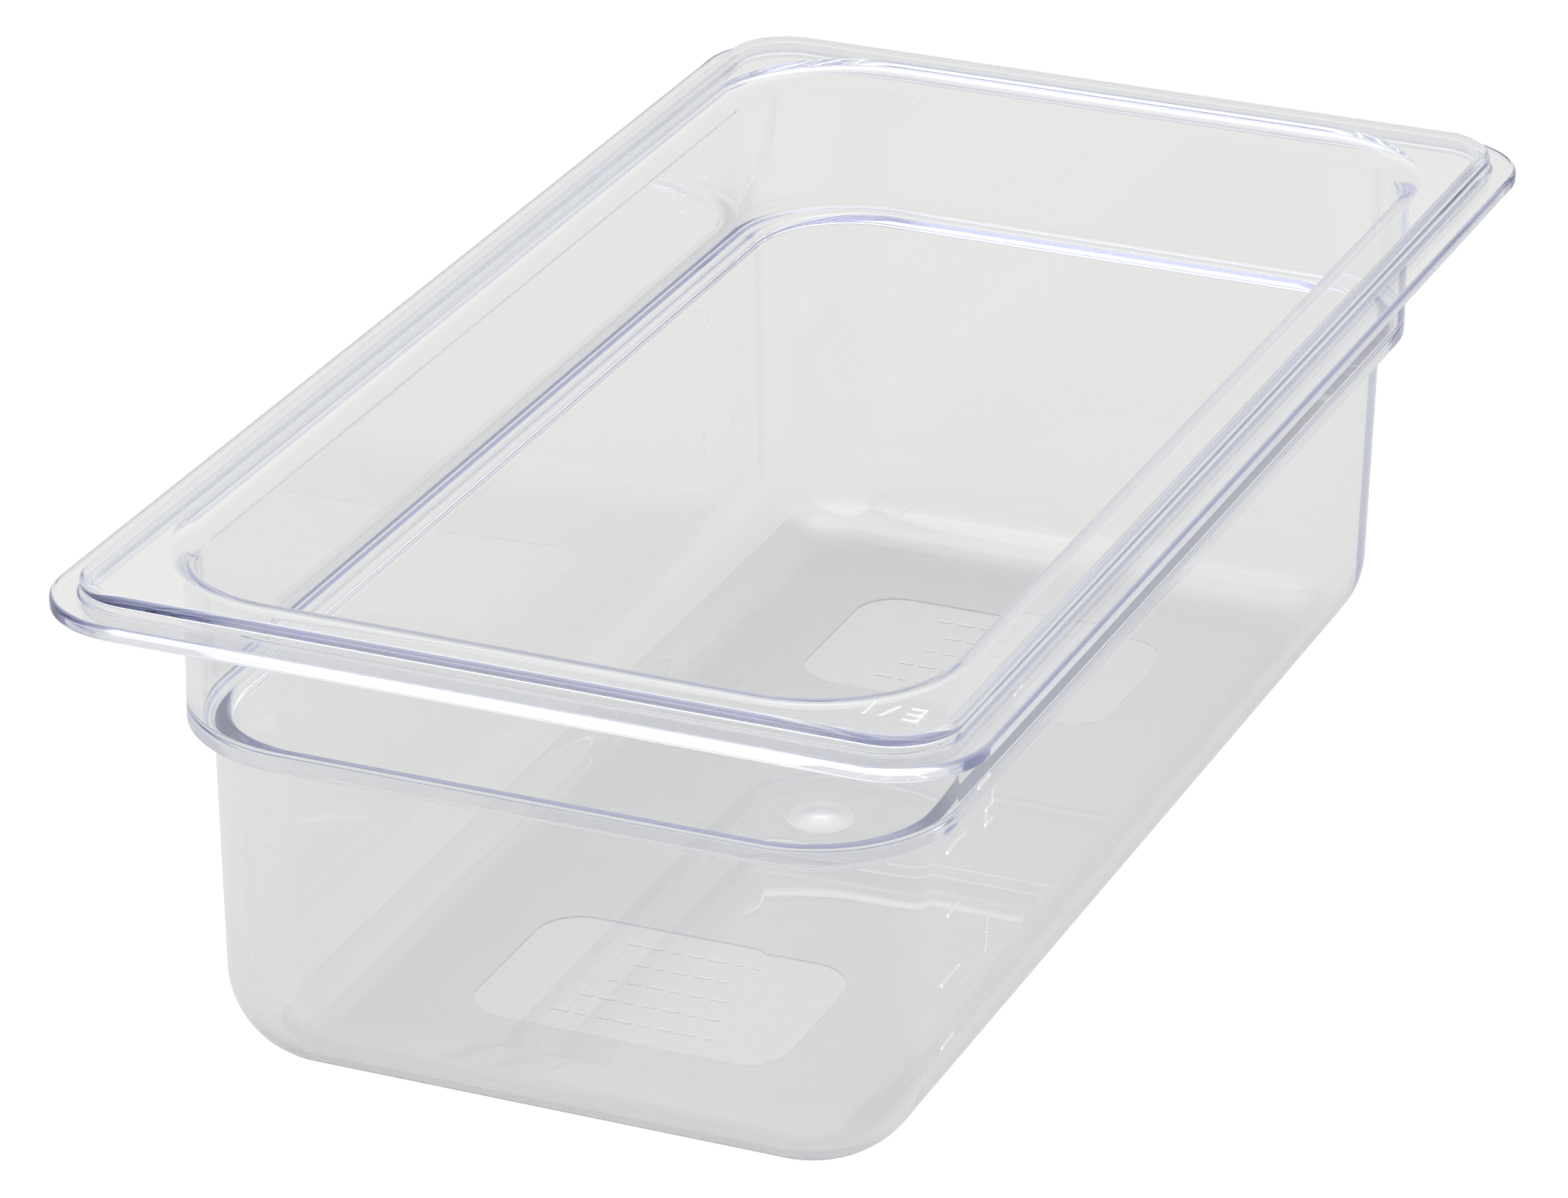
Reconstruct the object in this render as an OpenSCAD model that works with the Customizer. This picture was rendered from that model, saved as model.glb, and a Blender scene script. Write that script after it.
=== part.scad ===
// Third-size deli food pan, moulded in one shot from clear plastic.
// Millimetres. +X runs along the length, +Z is up, and the origin is the middle of
// the underside. Each module below is one zone of the moulding. The zones meet face
// to face, so together they are the whole pan.

/* [Overall] */
// Length over the rim
length = 325; // [300:1:350]
// Width over the rim
width = 176; // [160:1:190]
// Height from the table to the top of the rim
height = 100; // [95:1:150]
// Thickness of every wall and of the floor
wall = 2.4; // [2:0.1:3]

/* [Rim] */
// Corner radius of the outer lip
lip_corner = 18; // [17:0.5:20]
// Thickness of the outer lip
lip_thickness = 2.9; // [2.6:0.1:3.2]
// Width of the lip, outside the step
lip_width = 5.4; // [4.5:0.1:5.8]
// Height of the step from the lip up to the flat top
step_height = 3.3; // [2.8:0.1:3.6]
// Radius over which the flat top turns down into the mouth
mouth_radius = 5; // [4:0.5:5.5]

/* [Upper wall] */
// Distance from the outside of the lip to the outside of the upper wall
flange = 15; // [14.5:0.5:16]
// Corner radius of the upper wall, outside
upper_corner = 27; // [27:0.5:29]
// Height of the stacking shoulder's underside above the table
shoulder_height = 66.7; // [64:0.1:70]
// How far the stacking shoulder steps in
shoulder_step = 4.8; // [4:0.1:5]

/* [Lower wall and floor] */
// Draft of the lower wall, in degrees
draft = 1.4; // [0.5:0.1:1.6]
// Outer radius of the bend between the lower wall and the floor
base_radius = 18; // [14:0.5:18]

/* [Label windows and gate] */
// Size of a label window along the length
window_l = 44; // [36:1:50]
// Size of a label window across the pan
window_w = 64; // [50:1:70]
// Corner radius of a label window
window_corner = 9; // [5:0.5:12]
// Distance of a window's middle from the middle of the pan
window_offset = 79; // [70:1:82]
// How far a label window is recessed into the underside
window_recess = 0.3; // [0.2:0.05:0.5]
// Diameter of the raised gate button
gate_d = 15; // [12:0.5:18]
// Height of the gate button above the floor
gate_rise = 1.1; // [0.6:0.1:1.4]

/* [Scales] */
// How far the marks stand out of the wall
mark_rise = 0.35; // [0.2:0.05:0.5]
// Distance of a scale's ticks from the middle of the pan, along the length
tick_x = 109; // [100:1:112]
// Distance of a scale's numbers from the middle of the pan, along the length
number_x = 93; // [85:1:96]
// Height of the numbers
number_h = 7; // [5:0.5:8]

/* [Hidden] */
$fn = 96;

// Points in each quarter turn of a fillet
ARC_STEPS = 8;

// Fillets: the shoulder's, the foot of the rim's step, and the outer edges of the
// flat top, the lip and the shoulder
shoulder_fillet = 1.5;
step_fillet = 0.8;
land_edge = 1.2;
lip_edge = 0.9;
shoulder_edge = 0.9;
// Straight strip that a zone keeps past its last fillet, where the next zone meets it
strip = 1.2;

// Every inner zone has its corners about the same four upright lines.
core_x = length / 2 - flange - upper_corner;
core_y = width / 2 - flange - upper_corner;
// The lip's own corner lines lie further out.
lip_x = length / 2 - lip_corner;
lip_y = width / 2 - lip_corner;

// Distances out from a corner line of the inner zones
out_upper = upper_corner;
in_upper = out_upper - wall;
land_in = in_upper + mouth_radius + strip / 2;
out_lower = out_upper - shoulder_step;
in_lower = out_lower - wall;
out_bend = out_lower - (shoulder_height - base_radius) * tan(draft);
bend_centre = out_bend - base_radius;
floor_edge = bend_centre - 1;

// Distances out from a corner line of the lip
step_face = lip_corner - lip_width;
step_back = step_face - wall;
land_out = step_back - strip;

// Heights
land_under = height - wall;
lip_top = height - step_height;
lip_under = lip_top - lip_thickness;
upper_top = height - mouth_radius - 1;
shoulder_top = shoulder_height + wall;
upper_bottom = shoulder_top + shoulder_fillet + strip;
lower_top = shoulder_height - shoulder_fillet - strip;
bend_top = base_radius + 2;

// Capacity: the height that a number of litres fills the well to. The bend takes up
// as much of the well as a floor that is bend_loss thicker.
bend_loss = 3.2;
well_mean = (in_lower + out_bend - wall) / 2;
corner_loss = (4 - PI) * pow(in_lower, 2);
well_lower = 4 * (core_x + well_mean) * (core_y + well_mean) - corner_loss;
well_upper = 4 * (core_x + in_upper) * (core_y + in_upper) - corner_loss;
LITRE = 1e6;
QUART = 0.946;
well_floor = wall + bend_loss;
shoulder_litres = (shoulder_top - well_floor) * well_lower / LITRE;
function level(litres) = litres < shoulder_litres
    ? well_floor + litres * LITRE / well_lower
    : shoulder_top + (litres - shoulder_litres) * LITRE / well_upper;
// The scales count in half measures up to three.
scale_steps = [0.5 : 0.5 : 3];

// Strokes of the marks: thickness, how deep they are let into the wall, tick lengths
stroke_t = 0.8;
stroke_root = 0.15;
long_tick = 9;
short_tick = 6;
// Height of the size mark's figures, and the place of its middle from the left front
// corner of the lip
size_h = 5;
size_x = 13.5;
size_y = 17;
// Rules in a label window, and their thickness
window_rules = 5;
rule_t = 1.2;

clear = [0.86, 0.87, 0.92, 0.5];
frosted = [0.83, 0.84, 0.87, 0.9];

// Points of an arc about (cx, cy), from angle a to angle b
function arc(cx, cy, r, a, b) =
    [for (i = [0 : ARC_STEPS]) let (t = a + (b - a) * i / ARC_STEPS) [cx + r * cos(t), cy + r * sin(t)]];

// Outside face of the lower wall at height z, out from its corner line
function lower_face(z) = out_lower - (shoulder_height - z) * tan(draft);

// A ring that carries a section (x = distance out, y = height) round four corner
// lines at +-cx, +-cy: a straight length on each side and a quarter turn at each corner.
module ring(cx, cy) {
    for (s = [0, 180]) {
        rotate([0, 0, s]) translate([cx, 0, 0]) rotate([90, 0, 0])
            linear_extrude(2 * cy, center = true) children();
        rotate([0, 0, s]) translate([0, cy, 0]) rotate([90, 0, 90])
            linear_extrude(2 * cx, center = true) children();
    }
    for (sx = [-1, 1], sy = [-1, 1])
        translate([sx * cx, sy * cy, 0]) rotate([0, 0, sy > 0 ? (sx > 0 ? 0 : 90) : (sx > 0 ? 270 : 180)])
            rotate_extrude(angle = 90) children();
}

// A flat rounded rectangle with half sizes hx and hy
module rounded(hx, hy, r) {
    square([2 * hx, 2 * (hy - r)], center = true);
    square([2 * (hx - r), 2 * hy], center = true);
    for (sx = [-1, 1], sy = [-1, 1]) translate([sx * (hx - r), sy * (hy - r)]) circle(r);
}

// The outer lip, the step above it and the first strip of the flat top
module rim_lip() {
    edge = lip_corner - lip_edge;
    color(clear) ring(lip_x, lip_y) polygon(concat(
        [[land_out, height], [land_out, land_under], [step_back, land_under], [step_back, lip_under]],
        arc(edge, lip_under + lip_edge, lip_edge, -90, 0),
        arc(edge, lip_top - lip_edge, lip_edge, 0, 90),
        arc(step_face + step_fillet, lip_top + step_fillet, step_fillet, 270, 180),
        arc(step_face - land_edge, height - land_edge, land_edge, 0, 90)));
}

// The flat top of the rim, with its wide corners
module rim_land() {
    color(clear) translate([0, 0, land_under]) linear_extrude(wall) difference() {
        rounded(lip_x + land_out, lip_y + land_out, land_out);
        rounded(core_x + land_in, core_y + land_in, land_in);
    }
}

// The bend from the flat top down into the mouth
module mouth_bend() {
    centre_u = in_upper + mouth_radius;
    centre_z = height - mouth_radius;
    color(clear) ring(core_x, core_y) polygon(concat(
        [[in_upper, upper_top]],
        arc(centre_u, centre_z, mouth_radius, 180, 90),
        [[land_in, height], [land_in, land_under]],
        arc(centre_u, centre_z, mouth_radius - wall, 90, 180),
        [[out_upper, upper_top]]));
}

// The upright wall between the rim and the stacking shoulder
module upper_wall() {
    color(clear) ring(core_x, core_y) translate([in_upper, upper_bottom])
        square([wall, upper_top - upper_bottom]);
}

// The step that one pan rests on when pans are stacked
module stacking_shoulder() {
    f = shoulder_fillet;
    in_foot = lower_face(lower_top) - wall;
    color(clear) ring(core_x, core_y) polygon(concat(
        [[in_foot, lower_top]],
        [[lower_face(lower_top), lower_top]],
        arc(out_lower + f, shoulder_height - f, f, 180, 90),
        arc(out_upper - shoulder_edge, shoulder_height + shoulder_edge, shoulder_edge, 270, 360),
        [[out_upper, upper_bottom], [in_upper, upper_bottom]],
        arc(in_upper - f, shoulder_top + f, f, 360, 270),
        arc(in_lower + f, shoulder_top - f, f, 90, 180)));
}

// The tapered wall below the shoulder
module lower_wall() {
    top = lower_face(lower_top);
    foot = lower_face(bend_top);
    color(clear) ring(core_x, core_y) polygon([[foot - wall, bend_top], [foot, bend_top],
                                               [top, lower_top], [top - wall, lower_top]]);
}

// The large-radius bend between wall and floor, with a frosted outside
module base_bend() {
    foot = lower_face(bend_top);
    color(frosted) ring(core_x, core_y) polygon(concat(
        [[floor_edge, 0]],
        arc(bend_centre, base_radius, base_radius, 270, 360),
        [[foot, bend_top], [foot - wall, bend_top]],
        arc(bend_centre, base_radius, base_radius - wall, 360, 270),
        [[floor_edge, wall]]));
}

module window_outline() { rounded(window_l / 2, window_w / 2, window_corner); }

// The frosted floor, open where the label windows and the gate button sit
module base_floor() {
    color(frosted) linear_extrude(wall) difference() {
        rounded(core_x + floor_edge, core_y + floor_edge, floor_edge);
        for (s = [-1, 1]) translate([s * window_offset, 0]) window_outline();
        circle(d = gate_d);
    }
}

// A polished window in the floor, recessed below, with plain raised rules in place of wording
module label_window() {
    rule_w = window_w * 0.6;
    translate([0, 0, window_recess]) linear_extrude(wall - window_recess) window_outline();
    for (i = [1 : window_rules])
        translate([window_l * (i / (window_rules + 1) - 0.5) - rule_t / 2, -rule_w / 2, window_recess / 2])
            cube([rule_t, rule_w, window_recess]);
}
module window_left() { color(clear) translate([-window_offset, 0, 0]) rotate([0, 0, 180]) label_window(); }
module window_right() { color(clear) translate([window_offset, 0, 0]) label_window(); }

// The raised button left by the moulding gate, dished below around a short nub
module gate_button() {
    r = gate_d / 2;
    nub_r = 1.6;
    nub_z = wall / 4;
    rim = 0.3;
    color(clear) rotate_extrude() polygon(concat(
        [[0, nub_z], [nub_r, nub_z], [nub_r, gate_rise], [r - wall, gate_rise], [r - wall / 2, 0], [r, 0], [r, wall]],
        arc(r - gate_rise - rim, wall, gate_rise, 0, 90),
        [[0, wall + gate_rise]]));
}

// One raised stroke on the outside face of the +Y wall, centred at x and z
module stroke(x, z, w, h) {
    face = core_y + (z > shoulder_height ? out_upper : lower_face(z));
    translate([x - w / 2, face - stroke_root, z - h / 2]) cube([w, mark_rise + stroke_root, h]);
}

// Strokes lit in the figures 1, 2 and 3: top, middle, bottom, then upper left, lower
// left, upper right and lower right as read from outside the wall
FIGURES = [[0, 0, 0, 0, 0, 1, 1], [1, 1, 1, 0, 1, 1, 0], [1, 1, 1, 0, 0, 1, 1]];
module figure(n, x, z) {
    w = number_h * 0.55;
    lit = FIGURES[n - 1];
    for (i = [0 : 2]) if (lit[i] == 1) stroke(x, z + (1 - i) * (number_h - stroke_t) / 2, w, stroke_t);
    for (i = [3 : 6]) if (lit[i] == 1)
        stroke(x + (i < 5 ? 1 : -1) * (w - stroke_t) / 2, z + (i % 2 == 1 ? 1 : -1) * number_h / 4,
               stroke_t, number_h / 2);
}

// A scale on the outside of the +Y wall: a tick at each half measure, a figure at each whole one
module measure_scale(unit) {
    for (q = scale_steps) {
        z = level(q * unit);
        if (z + number_h / 2 < upper_top) {
            stroke(tick_x, z, q == floor(q) ? long_tick : short_tick, stroke_t);
            if (q == floor(q)) figure(q, number_x, z);
        }
    }
}
module litre_scale() { color(clear) measure_scale(1); }
module quart_scale() { color(clear) rotate([0, 0, 180]) measure_scale(QUART); }

// The pan's size, one third, raised on the flat top at the left front corner
module size_mark() {
    slant = 22;
    one_at = -5;
    slash_at = -2.2;
    three_at = 2.2;
    three_w = 3;
    color(clear) translate([size_x - length / 2, size_y - width / 2, height]) rotate([0, 0, -90]) {
        translate([one_at, 0, 0]) cube([stroke_t, size_h, mark_rise]);
        translate([slash_at, 0, 0]) rotate([0, 0, -slant]) cube([stroke_t, size_h, mark_rise]);
        for (i = [0 : 2]) translate([three_at, i * (size_h - stroke_t) / 2, 0]) cube([three_w, stroke_t, mark_rise]);
        translate([three_at + three_w - stroke_t, 0, 0]) cube([stroke_t, size_h, mark_rise]);
    }
}

rim_lip();
rim_land();
mouth_bend();
upper_wall();
stacking_shoulder();
lower_wall();
base_bend();
base_floor();
window_left();
window_right();
gate_button();
litre_scale();
quart_scale();
size_mark();
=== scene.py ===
"""Clear third-size food pan: the looks of one clear moulding, zone by zone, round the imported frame."""
import math

import bmesh
import bpy
from bpy.props import FloatProperty, FloatVectorProperty, IntProperty, PointerProperty
from bpy.types import Operator, Panel, PropertyGroup
from mathutils import Matrix, Vector


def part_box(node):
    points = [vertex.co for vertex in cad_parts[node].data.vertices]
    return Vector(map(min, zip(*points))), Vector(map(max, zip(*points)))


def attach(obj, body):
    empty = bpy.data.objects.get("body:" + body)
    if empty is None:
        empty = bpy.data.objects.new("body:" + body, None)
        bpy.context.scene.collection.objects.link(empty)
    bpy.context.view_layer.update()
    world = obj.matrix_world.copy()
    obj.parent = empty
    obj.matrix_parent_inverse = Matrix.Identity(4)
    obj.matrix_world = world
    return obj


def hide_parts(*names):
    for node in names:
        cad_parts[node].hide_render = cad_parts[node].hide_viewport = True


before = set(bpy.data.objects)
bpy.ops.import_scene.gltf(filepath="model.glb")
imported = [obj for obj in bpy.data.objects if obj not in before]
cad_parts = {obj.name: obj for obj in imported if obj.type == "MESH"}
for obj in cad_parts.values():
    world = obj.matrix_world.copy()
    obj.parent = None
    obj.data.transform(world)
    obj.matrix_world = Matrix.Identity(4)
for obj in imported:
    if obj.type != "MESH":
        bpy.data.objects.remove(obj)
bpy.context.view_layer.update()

bl_info = {
    "name": "Clear Food Pan",
    "version": (1, 0, 0),
    "blender": (4, 5, 0),
    "location": "3D View > Sidebar > Food Pan",
    "description": "Builds a clear third-size food pan, zone by zone, round its packed frame",
    "category": "Object",
}

MM = 0.001
CORNERS = ((1, 1), (-1, 1), (-1, -1), (1, -1))
# Face kinds: how solid the surface is and how frosted
SKIN = (1.0, 0.0)
FROSTED = (1.0, 1.0)
HAZED = (1.0, 0.65)
JOIN = (0.0, 0.0)
# How far two zones run into each other where the clear plastic runs on, so that no slit shows
JOIN_LAP = 0.015 * MM
# How far a raised mark stands off the wall behind it, so that the two faces don't coincide
MARK_GAP = 0.015 * MM
# The bend takes up as much of the well as a floor this much thicker
BEND_LOSS = 3.2 * MM
LITRE = 0.001
QUART = 0.000946
# Corners nearer than this are one corner
TINY = 0.0001 * MM
# Straight wall between the shoulder's fillet and the top of the lower wall
SHOULDER_FOOT = 1.2 * MM

# Dashes in a label window: their pitch, and half of the shortest and of each step longer, in pitches
DASH_PITCH = 4.2 * MM
DASH_HALF = 0.26
DASH_STEP = 0.1
DASH_LENGTHS = 3
FIRST_ROW_DASHES = 8
LAST_ROW_DASHES = 7

# The dish under the gate button, as a share of the dome above, and the frosted ring round it
DISH_SHARE = 0.7
GATE_RING_SHARE = 12

# Strokes of the marks
BAR_SIDE = 0.3
STROKE_BEVEL = 0.28 * MM
FIGURE_WIDTH = 0.55
LONG_TICK = 9 * MM
SHORT_TICK = 6 * MM
SIZE_RISE = 0.14 * MM
SIZE_BEVEL = 0.3 * MM
SIZE_THREE = 3 * MM
SLASH_PLACE = 4.2 * MM
SLASH_CLEAR = 0.2 * MM
SLASH_TURN = -22

# Plastic. Painted glow: once a ray has met more faces than the depth below, each further face of the plastic
# gives off a faint glow, a painted stand-in for the light that would scatter out along inside the plastic
PLASTIC_IOR = 1.585
GLOW_DEPTH = 9.5
PAINTED_GLOW_STRENGTH = 0.07
WAVE_SCALE = 22.0
WAVE_STRENGTH = 0.15
WAVE_HEIGHT = 0.00015
FLOW_SCALE = 14.0
HAZE_SCALE = 90.0
HAZE_ROUGHNESS = 0.006
GRAIN_SCALE = 1400.0
GRAIN_SPREAD = 0.1

# Stage: the table, what the plastic and the eye see of it, the room, the lamp and the camera
TABLE_SIZE = 8
TABLE_DROP = 0.0002
TABLE_TO_PLASTIC = (0.66, 0.66, 0.64, 1)
TABLE_TO_EYE = (0.92, 0.92, 0.92, 1)
TABLE_BASE = (0.15, 0.15, 0.148, 1)
TABLE_ROUGHNESS = 0.9
ROOM_WAY = (0.80, 0.35, 0.49)
ROOM_NEAR = (0.70, 0.70, 0.72, 1)
ROOM_FAR = (0.78, 0.78, 0.77, 1)
ROOM_FAR_FROM = 0.35
DOME_WAY = (0.29, 0.12, 0.95)
DOME_FROM = 0.55
DOME_LIGHT = 0.9
LAMP_PLACE = (0.6, 0.25, 1.9)
LAMP_SIZE = 1.8
LAMP_WATTS = 8
LAMP_TARGET = (0, 0, 0.05)
CAMERA_LENS = 167.4
CAMERA_AZIMUTH = -67.49
CAMERA_ELEVATION = 24.19
CAMERA_ROLL = 0.38
CAMERA_DISTANCE = 1.3885
CAMERA_TARGET = (-0.00909, 0.0062, 0.05029)
LIGHT_BOUNCES = 24
SEE_THROUGH_FACES = 48


# Sizes

def half_x(node):
    """Half the length of a node's box."""
    low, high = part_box(node)
    return (high.x - low.x) / 2


def half_y(node):
    """Half the width of a node's box."""
    low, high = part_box(node)
    return (high.y - low.y) / 2


def height_span(node):
    """Lowest and highest points of a node."""
    low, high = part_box(node)
    return low.z, high.z


class PanSizes(PropertyGroup):
    """Radii and fine sizes of the moulding that the frame's boxes don't give."""

    upper_corner: FloatProperty(
        name="Wall corner", description="Corner radius of the upper wall, outside",
        default=27 * MM, min=20 * MM, max=32 * MM, unit="LENGTH")
    lip_corner: FloatProperty(
        name="Lip corner", description="Corner radius of the outer lip",
        default=18 * MM, min=15 * MM, max=22 * MM, unit="LENGTH")
    lip_width: FloatProperty(
        name="Lip width", description="Width of the lip outside the step of the rim",
        default=5.4 * MM, min=4 * MM, max=6 * MM, unit="LENGTH")
    lip_thickness: FloatProperty(
        name="Lip thickness", description="Thickness of the outer lip",
        default=2.9 * MM, min=2.4 * MM, max=3.4 * MM, unit="LENGTH")
    mouth_radius: FloatProperty(
        name="Mouth radius", description="Radius over which the flat top turns down into the mouth",
        default=5 * MM, min=4 * MM, max=6 * MM, unit="LENGTH")
    base_radius: FloatProperty(
        name="Base radius", description="Outer radius of the bend between wall and floor",
        default=18 * MM, min=10 * MM, max=18 * MM, unit="LENGTH")
    frost_reach: FloatProperty(
        name="Frost reach", description="How far up the base bend the frosting goes, in degrees of the bend",
        default=40, min=10, max=90)
    satin: FloatProperty(
        name="Satin", description="How frosted the bend is just above the frosting; it fades from there",
        default=0.55, min=0, max=1)
    shoulder_fillet: FloatProperty(
        name="Shoulder fillet", description="Radius in the two inside corners of the shoulder",
        default=1.5 * MM, min=0.5 * MM, max=2.5 * MM, unit="LENGTH")
    upper_gain: FloatProperty(
        name="Upper corner gain", description="How much rounder the inside of each upper corner is",
        default=0.75 * MM, min=0, max=2.4 * MM, unit="LENGTH")
    lower_gain: FloatProperty(
        name="Lower corner gain", description="How much rounder the inside of each lower corner is",
        default=1.6 * MM, min=0, max=2.4 * MM, unit="LENGTH")
    window_corner: FloatProperty(
        name="Window corner", description="Corner radius of a label window",
        default=9 * MM, min=5 * MM, max=12 * MM, unit="LENGTH")
    window_rules: IntProperty(
        name="Window rules", description="Raised rules in a label window",
        default=5, min=0, max=8)
    rule_thickness: FloatProperty(
        name="Rule thickness", description="Width of each raised rule",
        default=1.2 * MM, min=0.6 * MM, max=2 * MM, unit="LENGTH")
    tick_place: FloatProperty(
        name="Tick place", description="Distance of a scale's ticks from the middle of the pan",
        default=109 * MM, min=100 * MM, max=112 * MM, unit="LENGTH")
    figure_place: FloatProperty(
        name="Figure place", description="Distance of a scale's figures from the middle of the pan",
        default=93 * MM, min=85 * MM, max=96 * MM, unit="LENGTH")
    figure_height: FloatProperty(
        name="Figure height", description="Height of a scale's figures",
        default=7 * MM, min=5 * MM, max=8 * MM, unit="LENGTH")
    stroke: FloatProperty(
        name="Stroke", description="Thickness of the strokes of the marks",
        default=0.8 * MM, min=0.5 * MM, max=1.2 * MM, unit="LENGTH")
    corner_steps: IntProperty(
        name="Corner steps", description="Faces round each corner of the pan",
        default=32, min=8, max=64)
    fillet_steps: IntProperty(
        name="Fillet steps", description="Faces across each fillet of the section",
        default=8, min=3, max=16)


class PanFinish(PropertyGroup):
    """Colour and clarity of the plastic."""

    surface_tint: FloatVectorProperty(
        name="Surface tint", description="Colour that each face of the plastic passes",
        subtype="COLOR", size=3, default=(1.0, 1.0, 0.985), min=0, max=1)
    flow_tint: FloatVectorProperty(
        name="Flow tint", description="Colour that the faces pass where the moulding flow left a trace",
        subtype="COLOR", size=3, default=(0.992, 0.996, 0.996), min=0, max=1)
    depth_tint: FloatVectorProperty(
        name="Depth tint", description="Colour the light keeps on its way along the plastic",
        subtype="COLOR", size=3, default=(0.46, 0.485, 0.67), min=0, max=1)
    depth_density: FloatProperty(
        name="Depth density", description="How fast the plastic takes on its depth tint, per metre",
        default=30.0, min=0, max=200)
    # Colour of the painted glow that the plastic gives off on deep rays, standing in for light scattering out
    # at its edges
    painted_glow_tint: FloatVectorProperty(
        name="Edge tint", description="Colour of the light that scatters out at the edges of the plastic",
        subtype="COLOR", size=3, default=(0.86, 0.86, 0.88), min=0, max=1)
    frost_roughness: FloatProperty(
        name="Frost", description="Roughness of the frosted outside of the base",
        default=0.36, min=0.1, max=1)


class Plan:
    """Sizes worked out from the frame's boxes and the properties above."""

    def __init__(self, sizes):
        self.sizes = sizes
        self.corner_steps = sizes.corner_steps
        self.steps = sizes.fillet_steps
        self.top = height_span("rim_land")[1]
        self.land_under = height_span("rim_land")[0]
        self.wall = self.top - self.land_under
        self.core_x = half_x("upper_wall") - sizes.upper_corner
        self.core_y = half_y("upper_wall") - sizes.upper_corner
        self.lip_x = half_x("rim_lip") - sizes.lip_corner
        self.lip_y = half_y("rim_lip") - sizes.lip_corner
        self.out_upper = sizes.upper_corner
        self.in_upper = self.out_upper - self.wall
        self.upper_bottom, self.upper_top = height_span("upper_wall")
        self.lower_bottom, self.lower_top = height_span("lower_wall")
        self.land_in = half_x("mouth_bend") - self.core_x
        self.land_out = half_x("rim_land") - self.lip_x
        self.lip_under = height_span("rim_lip")[0]
        self.lip_top = self.lip_under + sizes.lip_thickness
        self.step_face = sizes.lip_corner - sizes.lip_width
        self.step_back = self.step_face - self.wall
        wall_head = half_x("lower_wall") - self.core_x
        wall_foot = half_x("base_bend") - self.core_x
        self.lean = (wall_head - wall_foot) / (self.lower_top - self.lower_bottom)
        self.wall_head = wall_head
        self.shoulder_under = self.lower_top + sizes.shoulder_fillet + SHOULDER_FOOT
        self.shoulder_top = self.shoulder_under + self.wall
        self.out_lower = self.lower_face(self.shoulder_under)
        self.in_lower = self.out_lower - self.wall
        self.bend_centre = self.lower_face(sizes.base_radius) - sizes.base_radius
        self.floor_edge = half_x("base_floor") - self.core_x

    def lower_face(self, z):
        """Distance of the lower wall's outside face from its corner line at height z."""
        return self.wall_head - (self.lower_top - z) * self.lean

    def level(self, volume):
        """Height that a volume in cubic metres fills the well to."""
        low_wall = (self.in_lower + self.lower_face(self.sizes.base_radius) - self.wall) / 2
        corners = (4 - math.pi) * self.in_lower ** 2
        lower = 4 * (self.core_x + low_wall) * (self.core_y + low_wall) - corners
        upper = 4 * (self.core_x + self.in_upper) * (self.core_y + self.in_upper) - corners
        start = self.wall + BEND_LOSS
        below_shoulder = (self.shoulder_top - start) * lower
        if volume < below_shoulder:
            return start + volume / lower
        return self.shoulder_top + (volume - below_shoulder) / upper

    def core(self, out, z):
        """A section point measured from the corner lines of the walls."""
        return (self.core_x, self.core_y, out, z)

    def inner(self, out, z, share=1.0):
        """A section point of the inside faces, whose corners are a little rounder."""
        upper = out > (self.in_lower + self.in_upper) / 2
        gain = share * (self.sizes.upper_gain if upper else self.sizes.lower_gain)
        return (self.core_x - gain, self.core_y - gain, out + gain, z)

    def lip(self, out, z):
        """A section point measured from the corner lines of the lip."""
        return (self.lip_x, self.lip_y, out, z)


# Mesh helpers

def arc(line, cu, cz, radius, start, end, steps):
    """Section points of an arc with their normals; a clockwise arc is hollow."""
    sign = 1 if end > start else -1
    points = []
    for i in range(steps + 1):
        t = math.radians(start + (end - start) * i / steps)
        normal = (sign * math.cos(t), sign * math.sin(t))
        points.append((line(cu + radius * math.cos(t), cz + radius * math.sin(t)), normal))
    return points


def flat(*points):
    """Section points of straight runs, whose normals follow from their direction."""
    return [(p, None) for p in points]


def section_normals(strip):
    """Fills in the normals of a strip's straight runs."""
    filled = []
    for i, (point, normal) in enumerate(strip):
        if normal is None:
            a = strip[max(i - 1, 0)][0]
            b = strip[min(i + 1, len(strip) - 1)][0]
            du = (b[0] + b[2]) - (a[0] + a[2])
            dz = b[3] - a[3]
            size = math.hypot(du, dz)
            normal = (dz / size, -du / size)
        filled.append((point, normal))
    return filled


def ring_points(point, steps):
    """Places and outward directions of the ring that a section point sweeps round the pan."""
    cx, cy, out, z = point
    places = []
    for quarter, (sx, sy) in enumerate(CORNERS):
        for j in range(steps + 1):
            t = math.pi / 2 * (quarter + j / steps)
            way = (math.cos(t), math.sin(t))
            places.append(((sx * cx + out * way[0], sy * cy + out * way[1], z), way))
    return places


def store_kinds(mesh, kinds):
    """Keeps each face's kind on the mesh, where the material reads it."""
    for name, place in (("solid", 0), ("frost", 1)):
        stored = mesh.attributes.new(name, "FLOAT", "FACE")
        stored.data.foreach_set("value", [kind[place] for kind in kinds])


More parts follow.
